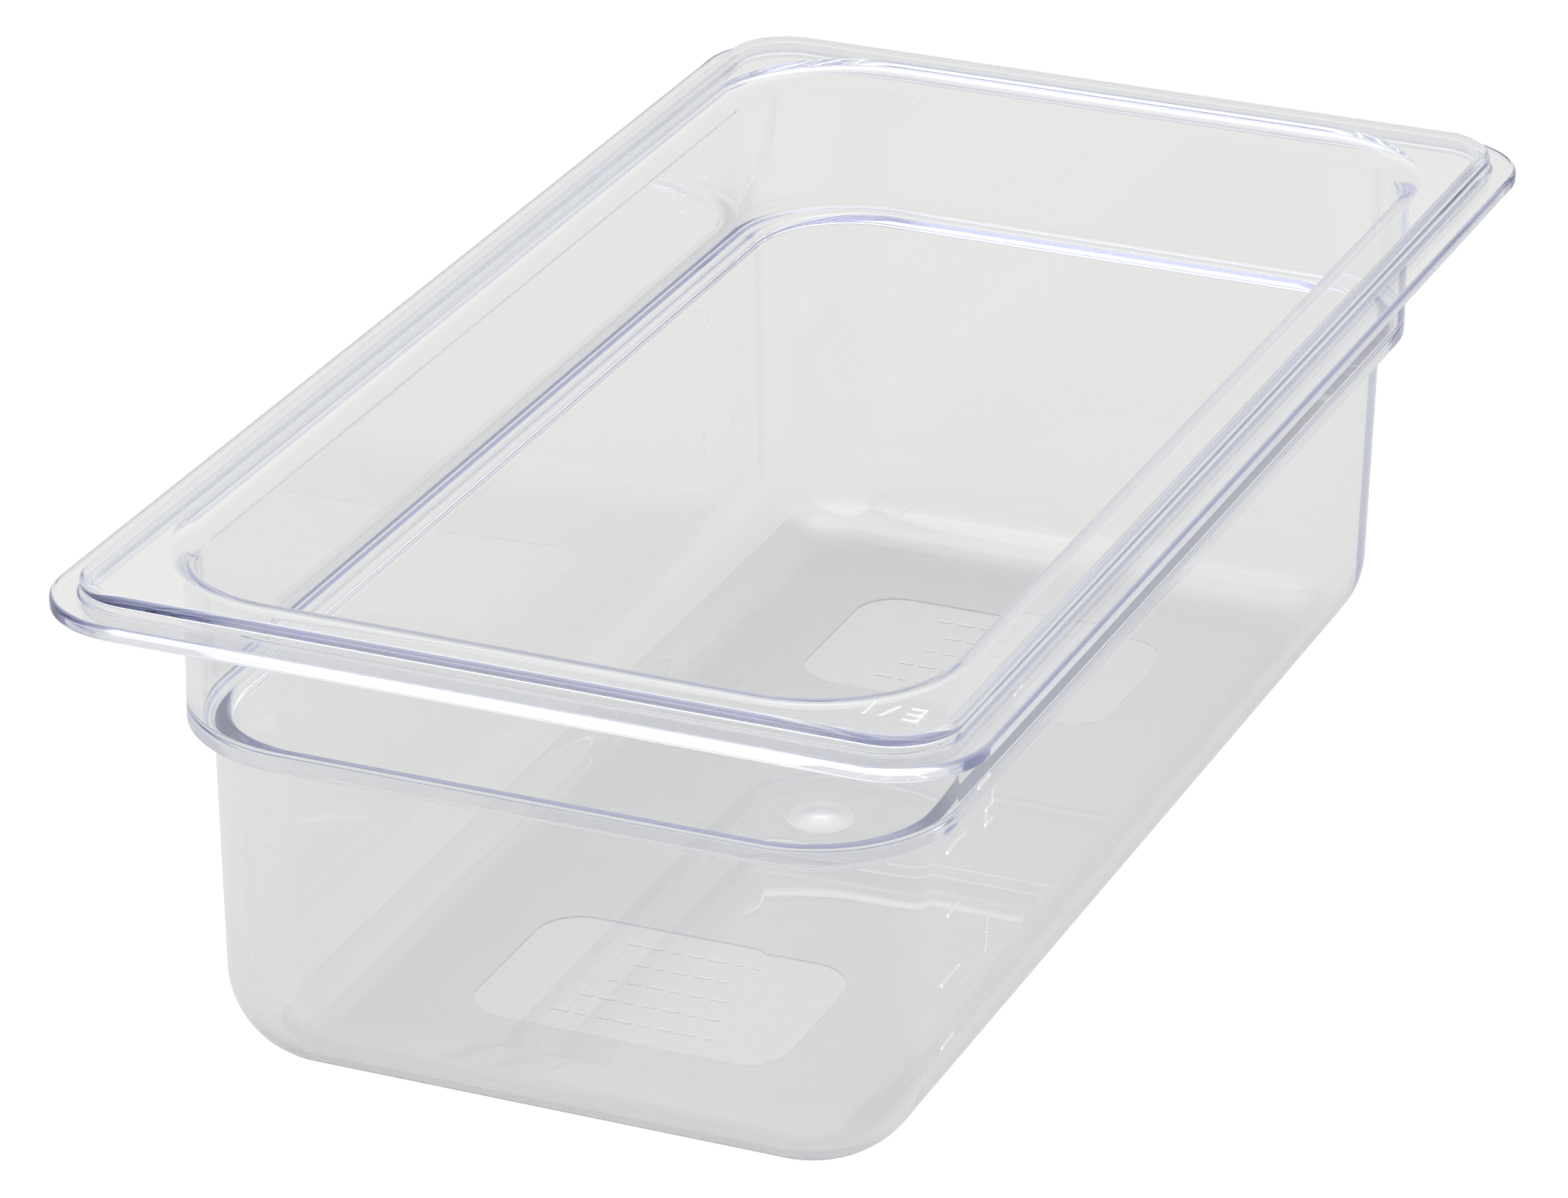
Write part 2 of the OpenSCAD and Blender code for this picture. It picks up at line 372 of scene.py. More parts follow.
class Shape:
    """A mesh under construction: vertices, faces, each face corner's normal, each face's kind."""

    def __init__(self):
        self.verts = []
        self.faces = []
        self.normals = []
        self.kinds = []

    def face(self, corners, normals, kind):
        self.faces.append(corners)
        self.normals.extend(normals)
        self.kinds.append(kind)

    def sweep(self, strips, steps):
        """Sweeps a closed section round the pan.

        strips is [(points, kind)], each ending where the next starts."""
        rows = []
        start = len(self.verts)
        count = 4 * (steps + 1)
        for points, kind in strips:
            filled = section_normals(points)
            for (point, normal), (_, after) in zip(filled, filled[1:]):
                rows.append((point, normal, after, kind))
        for point, *_ in rows:
            self.verts.extend(place for place, _ in ring_points(point, steps))
        ways = [way for _, way in ring_points(rows[0][0], steps)]
        for i, (_, here, there, kind) in enumerate(rows):
            a = start + i * count
            b = start + (i + 1) % len(rows) * count
            for j in range(count):
                k = (j + 1) % count
                corners = (a + j, a + k, b + k, b + j)
                normals = [
                    (n[0] * ways[w][0], n[0] * ways[w][1], n[1])
                    for n, w in ((here, j), (here, k), (there, k), (there, j))]
                self.face(corners, normals, kind)

    def strip(self, points, steps, kind):
        """Sweeps an open section round the pan."""
        filled = section_normals(points)
        for (a, here), (b, there) in zip(filled, filled[1:]):
            start = len(self.verts)
            ring = ring_points(a, steps)
            self.verts.extend(place for place, _ in ring)
            self.verts.extend(place for place, _ in ring_points(b, steps))
            count = len(ring)
            for j in range(count):
                k = (j + 1) % count
                corners = (start + j, start + k, start + count + k, start + count + j)
                normals = [
                    (n[0] * ring[w][1][0], n[0] * ring[w][1][1], n[1])
                    for n, w in ((here, j), (here, k), (there, k), (there, j))]
                self.face(corners, normals, kind)

    def plate(self, loops, z, facing, kind):
        """Fills the area inside the first loop and outside the others, facing up (1) or down (-1)."""
        start = len(self.verts)
        work = bmesh.new()
        for loop in loops:
            kept = [p for p, q in zip(loop, loop[1:] + loop[:1]) if math.dist(p, q) > TINY]
            self.verts.extend((x, y, z) for x, y in kept)
            ring = [work.verts.new((x, y, 0)) for x, y in kept]
            for p, q in zip(ring, ring[1:] + ring[:1]):
                work.edges.new((p, q))
        work.verts.index_update()
        bmesh.ops.triangle_fill(work, use_beauty=True, edges=work.edges[:])
        for face in work.faces:
            face.normal_update()
            corners = [start + vert.index for vert in face.verts]
            if face.normal.z * facing < 0:
                corners.reverse()
            self.face(corners, [(0, 0, facing)] * 3, kind)
        work.free()

    def band(self, loop, low, high, kind):
        """Upright faces along an anticlockwise loop, facing away from what it holds."""
        for (ax, ay), (bx, by) in zip(loop, loop[1:] + loop[:1]):
            size = math.hypot(bx - ax, by - ay)
            if size < TINY:
                continue
            start = len(self.verts)
            self.verts.extend([(ax, ay, low), (bx, by, low), (bx, by, high), (ax, ay, high)])
            normal = ((by - ay) / size, (ax - bx) / size, 0)
            self.face([start, start + 1, start + 2, start + 3], [normal] * 4, kind)

    def bar(self, middle, along, up, length, height, rise, bevel):
        """A raised bar with bevelled edges; its back lies at middle and it rises out from there."""
        out = along.cross(up)
        start = len(self.verts)
        for shrink, lift in ((0, 0), (0, rise * BAR_SIDE), (bevel, rise)):
            for sa, su in ((-1, -1), (1, -1), (1, 1), (-1, 1)):
                point = middle + along * sa * (length / 2 - shrink)
                point = point + up * su * (height / 2 - shrink) + out * lift
                self.verts.append(tuple(point))
        quads = [(3, 2, 1, 0), (8, 9, 10, 11)]
        for tier in (0, 4):
            for i in range(4):
                j = (i + 1) % 4
                quads.append((tier + i, tier + j, tier + 4 + j, tier + 4 + i))
        for quad in quads:
            a, b, c = (Vector(self.verts[start + i]) for i in quad[:3])
            normal = tuple((b - a).cross(c - a).normalized())
            self.face([start + i for i in quad], [normal] * 4, SKIN)

    def finish(self, name):
        """Welds the corners, makes the mesh and its object, and keeps the face kinds as attributes."""
        places = {}
        verts = []
        renamed = []
        for vert in self.verts:
            key = tuple(round(c / TINY) for c in vert)
            if key not in places:
                places[key] = len(verts)
                verts.append(vert)
            renamed.append(places[key])
        faces, normals, kinds = [], [], []
        first = 0
        for face, kind in zip(self.faces, self.kinds):
            corners = {}
            for k, corner in enumerate(face):
                corners.setdefault(renamed[corner], self.normals[first + k])
            first += len(face)
            if len(corners) > 2:
                faces.append(list(corners))
                normals.extend(corners.values())
                kinds.append(kind)
        mesh = bpy.data.meshes.new(name)
        mesh.from_pydata(verts, [], faces)
        mesh.shade_smooth()
        mesh.normals_split_custom_set(normals)
        store_kinds(mesh, kinds)
        obj = bpy.data.objects.new(name, mesh)
        bpy.context.scene.collection.objects.link(obj)
        return obj


def outline(hx, hy, radius, steps):
    """Corner points of a flat rounded rectangle, anticlockwise, with outward directions."""
    return [((x, y), way) for (x, y, _), way in
            ring_points((hx - radius, hy - radius, radius, 0), steps)]


def place_piece(obj, material, node):
    """Gives a piece its material and its place in the frame."""
    obj.data.materials.append(material)
    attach(obj, "root")
    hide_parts(node)
    return obj


# Materials

def new_material(name):
    """An empty node material and its Principled node."""
    material = bpy.data.materials.new(name)
    material.use_nodes = True
    return material, material.node_tree, material.node_tree.nodes["Principled BSDF"]


def add(tree, kind, **values):
    """Adds a node; values are its sockets by name, or its own settings."""
    node = tree.nodes.new(kind)
    for key, value in values.items():
        if key in node.inputs:
            node.inputs[key].default_value = value
        else:
            setattr(node, key, value)
    return node


def scaled(tree, source, low, high):
    """Maps a source of 0 to 1 onto low to high."""
    node = tree.nodes.new("ShaderNodeMapRange")
    node.inputs["To Min"].default_value = low
    node.inputs["To Max"].default_value = high
    tree.links.new(source, node.inputs["Value"])
    return node.outputs["Result"]


def moulded_plastic(name, rough_of):
    """Clear moulded plastic that takes on its depth tint and gives off a painted glow on deep rays; rough_of
    gives its roughness socket.
    """
    found = bpy.data.materials.get(name)
    if found is not None:
        return found
    finish = bpy.context.scene.pan_finish
    material, tree, shader = new_material(name)
    link = tree.links.new
    coords = add(tree, "ShaderNodeTexCoord")
    link(rough_of(tree, coords.outputs["Object"]), shader.inputs["Roughness"])
    wave = add(tree, "ShaderNodeTexNoise", Scale=WAVE_SCALE, Detail=2.0)
    link(coords.outputs["Object"], wave.inputs["Vector"])
    bump = add(tree, "ShaderNodeBump", Strength=WAVE_STRENGTH, Distance=WAVE_HEIGHT)
    link(wave.outputs["Fac"], bump.inputs["Height"])
    link(bump.outputs["Normal"], shader.inputs["Normal"])
    solid = add(tree, "ShaderNodeAttribute", attribute_name="solid")
    link(solid.outputs["Fac"], shader.inputs["Alpha"])
    shader.inputs["Transmission Weight"].default_value = 1
    flow = add(tree, "ShaderNodeTexNoise", Scale=FLOW_SCALE, Detail=1.0)
    link(coords.outputs["Object"], flow.inputs["Vector"])
    tint = add(tree, "ShaderNodeMix", data_type="RGBA")
    link(scaled(tree, flow.outputs["Fac"], 0.0, 1.0), tint.inputs["Factor"])
    tint.inputs["A"].default_value = (*finish.surface_tint, 1)
    tint.inputs["B"].default_value = (*finish.flow_tint, 1)
    link(tint.outputs["Result"], shader.inputs["Base Color"])
    shader.inputs["IOR"].default_value = PLASTIC_IOR
    # Painted glow: faces met by rays deeper than the set depth emit a faint glow in the glow tint
    path = add(tree, "ShaderNodeLightPath")
    deep_ray = add(tree, "ShaderNodeMath", operation="GREATER_THAN")
    deep_ray.inputs[1].default_value = GLOW_DEPTH
    link(path.outputs["Ray Depth"], deep_ray.inputs[0])
    painted_glow = scaled(tree, deep_ray.outputs["Value"], 0.0, PAINTED_GLOW_STRENGTH)
    link(painted_glow, shader.inputs["Emission Strength"])
    shader.inputs["Emission Color"].default_value = (*finish.painted_glow_tint, 1)
    depth = add(tree, "ShaderNodeVolumeAbsorption", Density=finish.depth_density)
    depth.inputs["Color"].default_value = (*finish.depth_tint, 1)
    link(depth.outputs["Volume"], tree.nodes["Material Output"].inputs["Volume"])
    return material


def polished(tree, where):
    """Roughness of a polished face, with a trace of haze."""
    haze = add(tree, "ShaderNodeTexNoise", Scale=HAZE_SCALE, Detail=4.0)
    tree.links.new(where, haze.inputs["Vector"])
    return scaled(tree, haze.outputs["Fac"], 0.0, HAZE_ROUGHNESS)


def part_frosted(tree, where):
    """Roughness that is polished inside and fine-grained on the faces marked as frosted."""
    middle = bpy.context.scene.pan_finish.frost_roughness
    grain = add(tree, "ShaderNodeTexNoise", Scale=GRAIN_SCALE, Detail=3.0)
    tree.links.new(where, grain.inputs["Vector"])
    frosted = scaled(tree, grain.outputs["Fac"], middle - GRAIN_SPREAD, middle + GRAIN_SPREAD)
    frost = add(tree, "ShaderNodeAttribute", attribute_name="frost")
    rough = add(tree, "ShaderNodeMix", data_type="FLOAT")
    tree.links.new(frost.outputs["Fac"], rough.inputs["Factor"])
    tree.links.new(polished(tree, where), rough.inputs["A"])
    tree.links.new(frosted, rough.inputs["B"])
    return rough.outputs["Result"]


def clear_plastic():
    """The polished plastic of the rim, the walls and the raised marks."""
    return moulded_plastic("moulded_clear_plastic", polished)


def frosted_plastic():
    """The plastic of the base, the windows and the gate button, frosted outside where marked."""
    return moulded_plastic("moulded_frosted_plastic", part_frosted)


# Rim

def rim_lip(plan):
    """The outer lip, the step above it and the first strip of the flat top."""
    s = plan.sizes
    lip = plan.lip
    edge = 0.9 * MM
    foot = 0.8 * MM
    brow = 1.2 * MM
    back_fillet = 0.5 * MM
    n = plan.steps
    v = s.lip_corner
    shape = Shape()
    under = flat(lip(plan.land_out - JOIN_LAP, plan.land_under)) + arc(
        lip, plan.step_back - back_fillet, plan.land_under - back_fillet, back_fillet, 90, 0, n)
    riser_back = flat(lip(plan.step_back, plan.land_under - back_fillet)) + arc(
        lip, plan.step_back + back_fillet, plan.lip_under + back_fillet, back_fillet, 180, 270, n)
    outside = (
        arc(lip, v - edge, plan.lip_under + edge, edge, -90, 0, n)
        + arc(lip, v - edge, plan.lip_top - edge, edge, 0, 90, n)
        + arc(lip, plan.step_face + foot, plan.lip_top + foot, foot, 270, 180, n)
        + arc(lip, plan.step_face - brow, plan.top - brow, brow, 0, 90, n)
        + [(lip(plan.land_out - JOIN_LAP, plan.top), (0, 1))])
    under[0] = (under[0][0], (0, -1))
    skin = under + riser_back[1:] + outside
    shape.sweep([
        (skin, SKIN),
        (flat(lip(plan.land_out - JOIN_LAP, plan.top), lip(plan.land_out - JOIN_LAP, plan.land_under)), JOIN),
    ], plan.corner_steps)
    return shape.finish("rim_lip_moulding")


def rim_land(plan):
    """The flat top of the rim."""
    shape = Shape()
    inner = plan.land_in - JOIN_LAP
    outer = plan.land_out + JOIN_LAP
    low, high = plan.land_under, plan.top
    shape.sweep([
        (flat(plan.core(inner, low), plan.lip(outer, low)), SKIN),
        (flat(plan.lip(outer, low), plan.lip(outer, high)), JOIN),
        (flat(plan.lip(outer, high), plan.core(inner, high)), SKIN),
        (flat(plan.core(inner, high), plan.core(inner, low)), JOIN),
    ], plan.corner_steps)
    return shape.finish("rim_land_moulding")


def eased(plan, strip):
    """Lets the inside corners of an arc get rounder from its first point to its last."""
    last = len(strip) - 1
    return [(plan.inner(point[2], point[3], i / last), normal) for i, (point, normal) in enumerate(strip)]


def mouth_bend(plan):
    """The bend from the flat top down into the mouth."""
    core = plan.core
    r = plan.sizes.mouth_radius
    cu = plan.in_upper + r
    cz = plan.top - r
    low = plan.upper_top - JOIN_LAP
    n = plan.steps
    shape = Shape()
    under = [(core(plan.out_upper, low), (1, 0))] + arc(core, cu, cz, r - plan.wall, 180, 90, n) + [
        (core(plan.land_in, plan.land_under), (0, -1))]
    over = [(core(plan.land_in, plan.top), (0, 1))] + eased(plan, arc(core, cu, cz, r, 90, 180, n)) + [
        (plan.inner(plan.in_upper, low), (-1, 0))]
    shape.sweep([
        (under, SKIN),
        (flat(under[-1][0], over[0][0]), JOIN),
        (over, SKIN),
        (flat(over[-1][0], under[0][0]), JOIN),
    ], plan.corner_steps)
    return shape.finish("mouth_bend_moulding")


# Walls

def upper_wall(plan):
    """The upright wall between the mouth and the stacking shoulder."""
    shape = Shape()
    low = plan.upper_bottom - JOIN_LAP
    high = plan.upper_top
    shape.sweep([
        (flat(plan.inner(plan.in_upper, low), plan.core(plan.out_upper, low)), JOIN),
        (flat(plan.core(plan.out_upper, low), plan.core(plan.out_upper, high)), SKIN),
        (flat(plan.core(plan.out_upper, high), plan.inner(plan.in_upper, high)), JOIN),
        (flat(plan.inner(plan.in_upper, high), plan.inner(plan.in_upper, low)), SKIN),
    ], plan.corner_steps)
    return shape.finish("upper_wall_moulding")


def stacking_shoulder(plan):
    """The step that one pan rests on when pans are stacked."""
    core = plan.core
    f = plan.sizes.shoulder_fillet
    edge = 0.9 * MM
    n = plan.steps
    low = plan.lower_top - JOIN_LAP
    high = plan.upper_bottom
    foot = plan.lower_face(low)
    lean = math.atan(plan.lean)
    out_way = (math.cos(lean), -math.sin(lean))
    in_way = (-math.cos(lean), math.sin(lean))
    outside = (
        [(core(foot, low), out_way)]
        + arc(core, plan.out_lower + f, plan.shoulder_under - f, f, 180, 90, n)
        + arc(core, plan.out_upper - edge, plan.shoulder_under + edge, edge, 270, 360, n)
        + [(core(plan.out_upper, high), (1, 0))])
    inside = (
        [(plan.inner(plan.in_upper, high), (-1, 0))]
        + arc(plan.inner, plan.in_upper - f, plan.shoulder_top + f, f, 360, 270, n)
        + arc(plan.inner, plan.in_lower + f, plan.shoulder_top - f, f, 90, 180, n)
        + [(plan.inner(foot - plan.wall, low), in_way)])
    shape = Shape()
    shape.sweep([
        (flat(inside[-1][0], outside[0][0]), JOIN),
        (outside, SKIN),
        (flat(outside[-1][0], inside[0][0]), JOIN),
        (inside, SKIN),
    ], plan.corner_steps)
    return shape.finish("stacking_shoulder_moulding")


def lower_wall(plan):
    """The tapered wall below the shoulder."""
    core = plan.core
    low = plan.lower_bottom - JOIN_LAP
    high = plan.lower_top
    top_out = plan.lower_face(high)
    low_out = plan.lower_face(low)
    shape = Shape()
    shape.sweep([
        (flat(plan.inner(low_out - plan.wall, low), core(low_out, low)), JOIN),
        (flat(core(low_out, low), core(top_out, high)), SKIN),
        (flat(core(top_out, high), plan.inner(top_out - plan.wall, high)), JOIN),
        (flat(plan.inner(top_out - plan.wall, high), plan.inner(low_out - plan.wall, low)), SKIN),
    ], plan.corner_steps)
    return shape.finish("lower_wall_moulding")


# Base

def base_bend(plan):
    """The large bend between wall and floor; outside, the frosting of its lowest part fades out upwards."""
    core = plan.core
    r = plan.sizes.base_radius
    n = plan.steps * 2
    high = plan.lower_bottom
    foot = plan.lower_face(high)
    edge = plan.floor_edge - JOIN_LAP
    lean = math.atan(plan.lean)
    reach = 270 + plan.sizes.frost_reach
    frosted = [(core(edge, 0), (0, -1))] + arc(core, plan.bend_centre, r, r, 270, reach, n)
    satin = []
    rows = 6
    row_steps = 3
    for i in range(rows):
        first, last = (reach + (360 - reach) * k / rows for k in (i, i + 1))
        fading = (1.0, plan.sizes.satin * (1 - i / rows))
        satin.append((arc(core, plan.bend_centre, r, r, first, last, row_steps), fading))
    outside = [satin[-1][0][-1], (core(foot, high), (math.cos(lean), -math.sin(lean)))]
    bowl = eased(plan, arc(core, plan.bend_centre, r, r - plan.wall, 270, 360, n))
    bowl = [(point, (-normal[0], -normal[1])) for point, normal in reversed(bowl)]
    inside = [(plan.inner(foot - plan.wall, high), (-math.cos(lean), math.sin(lean)))] + bowl + [
        (core(edge, plan.wall), (0, 1))]
    shape = Shape()
    shape.sweep([
        (frosted, FROSTED),
        *satin,
        (outside, SKIN),
        (flat(outside[-1][0], inside[0][0]), JOIN),
        (inside, SKIN),
        (flat(inside[-1][0], frosted[0][0]), JOIN),
    ], plan.corner_steps)
    return shape.finish("base_bend_moulding")


def window_loop(plan, node, grow):
    """Outline of a label window, moved out by grow."""
    low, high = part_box(node)
    middle = (low + high) / 2
    hx = (high.x - low.x) / 2 + grow
    hy = (high.y - low.y) / 2 + grow
    corner = plan.sizes.window_corner + grow
    return [(middle.x + x, middle.y + y) for (x, y), _ in outline(hx, hy, corner, plan.corner_steps // 2)]


def circle_loop(radius, steps):
    """Points of a circle about the middle of the pan."""
    return [(x, y) for (x, y, _), _ in ring_points((0, 0, radius, 0), steps)]


def base_floor(plan):
    """The frosted floor round the label windows and the gate button."""
    shape = Shape()
    line = plan.core(plan.floor_edge + JOIN_LAP, 0)
    edge = [(x, y) for (x, y, _), _ in ring_points(line, plan.corner_steps)]
    holes = [window_loop(plan, node, -JOIN_LAP) for node in ("window_left", "window_right")]
    holes.append(circle_loop(half_x("gate_button") - JOIN_LAP, plan.corner_steps // 2))
    shape.plate([edge, *holes], 0, -1, FROSTED)
    shape.plate([edge, *holes], plan.wall, 1, SKIN)
    shape.band(edge, 0, plan.wall, JOIN)
    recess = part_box("window_left")[0].z * 2
    for hole in holes[:2]:
        shape.band(hole[::-1], 0, recess, SKIN)
        shape.band(hole[::-1], recess, plan.wall, JOIN)
    shape.band(holes[2][::-1], 0, plan.wall, JOIN)
    return shape.finish("base_floor_moulding")


def rule_loops(plan, node):
    """Outlines of the plain raised dashes that stand in for the rows of wording in a label window."""
    s = plan.sizes
    low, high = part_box(node)
    middle = (low + high) / 2
    thick = s.rule_thickness / 2
    loops = []
    for i in range(s.window_rules):
        at = low.x + (high.x - low.x) * (i + 1) / (s.window_rules + 1)
        dashes = FIRST_ROW_DASHES - i if i < s.window_rules - 1 else LAST_ROW_DASHES
        for j in range(dashes):
            across = middle.y + (j - (dashes - 1) / 2) * DASH_PITCH
            dash = DASH_PITCH * (DASH_HALF + DASH_STEP * ((i + 2 * j) % DASH_LENGTHS))
            loops.append([(at + x, across + y) for (x, y), _ in outline(thick, dash, thick, 4)])
    return loops


def label_window(plan, node):
    """A satin window in the floor, recessed below, with its raised dashes."""
    low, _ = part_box(node)
    recess = low.z * 2
    loop = window_loop(plan, node, 0)
    rules = rule_loops(plan, node)
    shape = Shape()
    shape.plate([loop], plan.wall, 1, SKIN)
    shape.band(loop, recess, plan.wall, JOIN)
    shape.plate([loop, *rules], recess, -1, HAZED)
    for rule in rules:
        shape.band(rule, low.z, recess, SKIN)
        shape.plate([rule], low.z, -1, SKIN)
    return shape.finish(node + "_moulding")


def gate_button(plan):
    """The domed button left by the moulding gate, dished below."""
    r = half_x("gate_button")
    top = height_span("gate_button")[1]
    steps = plan.corner_steps // 2
    n = plan.steps * 3

    def at(out, z):
        return (0, 0, out, z)

    def bell(height, foot):
        """A smooth hump: section points from the edge to the middle, with upward normals."""
        points = []
        for i in range(n + 1):
            out = r * (1 - i / n)
            z = foot + height * (1 + math.cos(math.pi * out / r)) / 2
            slope = -height * math.pi / (2 * r) * math.sin(math.pi * out / r)
            size = math.hypot(slope, 1)
            points.append((at(max(out, 0), z), (-slope / size, 1 / size)))
        return points

    rise = top - plan.wall
    above = bell(rise, plan.wall)
    below = [(point, (-way[0], -way[1])) for point, way in bell(rise * DISH_SHARE, 0)]
    shape = Shape()
    shape.strip(above, steps, SKIN)
    ring = n // GATE_RING_SHARE
    shape.strip(below[::-1][:n + 1 - ring], steps, SKIN)
    shape.strip(below[::-1][n - ring:], steps, FROSTED)
    shape.strip([(at(r, 0), (1, 0)), (at(r, plan.wall), (1, 0))], steps, JOIN)
    return shape.finish("gate_button_moulding")


# Marks

# Strokes lit in the figures 1, 2 and 3: top, middle, bottom, then upper left, lower
# left, upper right and lower right as read from outside
FIGURES = {1: "0000011", 2: "1110110", 3: "1110011"}
SCALE_STEPS = (0.5, 1, 1.5, 2, 2.5, 3)


class Wall:
    """A side wall that carries a scale: side is 1 for the +Y wall, -1 for the -Y wall."""

    def __init__(self, plan, node):
        low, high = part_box(node)
        self.plan = plan
        self.side = 1 if high.y > 0 else -1
        self.rise = max(abs(low.y), abs(high.y)) - plan.core_y - plan.out_upper
        self.shape = Shape()

    def stroke(self, x, z, width, height):
        """One raised stroke centred at x and z, seen from outside the wall."""
        plan = self.plan
        upper = z > plan.shoulder_under
        face = plan.core_y + (plan.out_upper if upper else plan.lower_face(z))
        lean = 0 if upper else math.atan(plan.lean)
        up = Vector((0, self.side * math.sin(lean), math.cos(lean)))
        along = Vector((-self.side, 0, 0))
        middle = Vector((self.side * x, self.side * (face + MARK_GAP), z))
        rise = self.rise - 2 * MARK_GAP
        self.shape.bar(middle, along, up, width, height, rise, STROKE_BEVEL)

    def figure(self, number, x, z):
        """A plain figure built from strokes."""
        s = self.plan.sizes
        tall = s.figure_height
        wide = tall * FIGURE_WIDTH
        thick = s.stroke
        lit = FIGURES[number]
        for i in range(3):
            if lit[i] == "1":
                self.stroke(x, z + (1 - i) * (tall - thick) / 2, wide, thick)
        for i in range(3, 7):
            if lit[i] == "1":
                left = 1 if i < 5 else -1
                upper = 1 if i % 2 == 1 else -1
                across = x + left * (wide - thick) / 2
                self.stroke(across, z + upper * tall / 4, thick, tall / 2 - thick)


def measure_scale(plan, node, unit):
    """A scale on a side wall: a tick at each half measure and a figure at each whole one."""
    s = plan.sizes
    wall = Wall(plan, node)
    for count in SCALE_STEPS:
        z = plan.level(count * unit)
        if z + s.figure_height / 2 >= plan.upper_top:
            continue
        whole = count == int(count)
        wall.stroke(s.tick_place, z, LONG_TICK if whole else SHORT_TICK, s.stroke)
        if whole:
            wall.figure(int(count), s.figure_place, z)
    return wall.shape.finish(node + "_moulding")


def size_mark(plan):
    """The pan's size, one third, raised on the flat top at the left front corner."""
    s = plan.sizes
    low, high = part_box("size_mark")
    tall = high.x - low.x
    right = Vector((0, -1, 0))
    up = Vector((1, 0, 0))
    thick = s.stroke
    shape = Shape()

    def stroke(at, over, width, height, turn=0.0):
        slanted = Matrix.Rotation(turn, 3, "Z")
        middle = Vector((low.x, high.y, plan.top + MARK_GAP)) + right * at + up * over
        shape.bar(middle, slanted @ right, slanted @ up, width, height, SIZE_RISE, SIZE_BEVEL)

    stroke(thick / 2, tall / 2, thick, tall)
    stroke(SLASH_PLACE, tall / 2, thick, tall - SLASH_CLEAR, math.radians(SLASH_TURN))
    start = high.y - low.y - SIZE_THREE
    for i in range(3):
        stroke(start + SIZE_THREE / 2, thick / 2 + i * (tall - thick) / 2, SIZE_THREE, thick)
    between = (tall - 3 * thick) / 2
    for i in range(2):
        over = thick + between / 2 + i * (between + thick)
        stroke(start + SIZE_THREE - thick / 2, over, thick, between)
    return shape.finish("size_mark_moulding")


# Operators

class PAN_OT_rim(Operator):
    """Build the lip, the flat top and the mouth bend"""

    bl_idname = "pan.rim"
    bl_label = "Rim"

    def execute(self, context):
        plan = Plan(context.scene.pan_sizes)
        for build, node in ((rim_lip, "rim_lip"), (rim_land, "rim_land"), (mouth_bend, "mouth_bend")):
            place_piece(build(plan), clear_plastic(), node)
        return {"FINISHED"}


class PAN_OT_walls(Operator):
    """Build the upper wall, the stacking shoulder and the lower wall"""

    bl_idname = "pan.walls"
    bl_label = "Walls"

    def execute(self, context):
        plan = Plan(context.scene.pan_sizes)
        for build, node in ((upper_wall, "upper_wall"), (stacking_shoulder, "stacking_shoulder"),
                            (lower_wall, "lower_wall")):
            place_piece(build(plan), clear_plastic(), node)
        return {"FINISHED"}


class PAN_OT_base(Operator):
    """Build the base bend and the floor"""

    bl_idname = "pan.base"
    bl_label = "Base"

    def execute(self, context):
        plan = Plan(context.scene.pan_sizes)
        place_piece(base_bend(plan), frosted_plastic(), "base_bend")
        place_piece(base_floor(plan), frosted_plastic(), "base_floor")
        return {"FINISHED"}


class PAN_OT_windows(Operator):
    """Build the two label windows"""

    bl_idname = "pan.windows"
    bl_label = "Label windows"

    def execute(self, context):
        plan = Plan(context.scene.pan_sizes)
        for node in ("window_left", "window_right"):
            place_piece(label_window(plan, node), frosted_plastic(), node)
        return {"FINISHED"}


class PAN_OT_gate(Operator):
    """Build the gate button"""

    bl_idname = "pan.gate"
    bl_label = "Gate button"

    def execute(self, context):
        plan = Plan(context.scene.pan_sizes)
        place_piece(gate_button(plan), frosted_plastic(), "gate_button")
        return {"FINISHED"}


class PAN_OT_marks(Operator):
    """Build the litre scale, the quart scale and the size mark"""

    bl_idname = "pan.marks"
    bl_label = "Marks"

    def execute(self, context):
        plan = Plan(context.scene.pan_sizes)
        for node, unit in (("litre_scale", LITRE), ("quart_scale", QUART)):
            place_piece(measure_scale(plan, node, unit), clear_plastic(), node)
        place_piece(size_mark(plan), clear_plastic(), "size_mark")
        return {"FINISHED"}


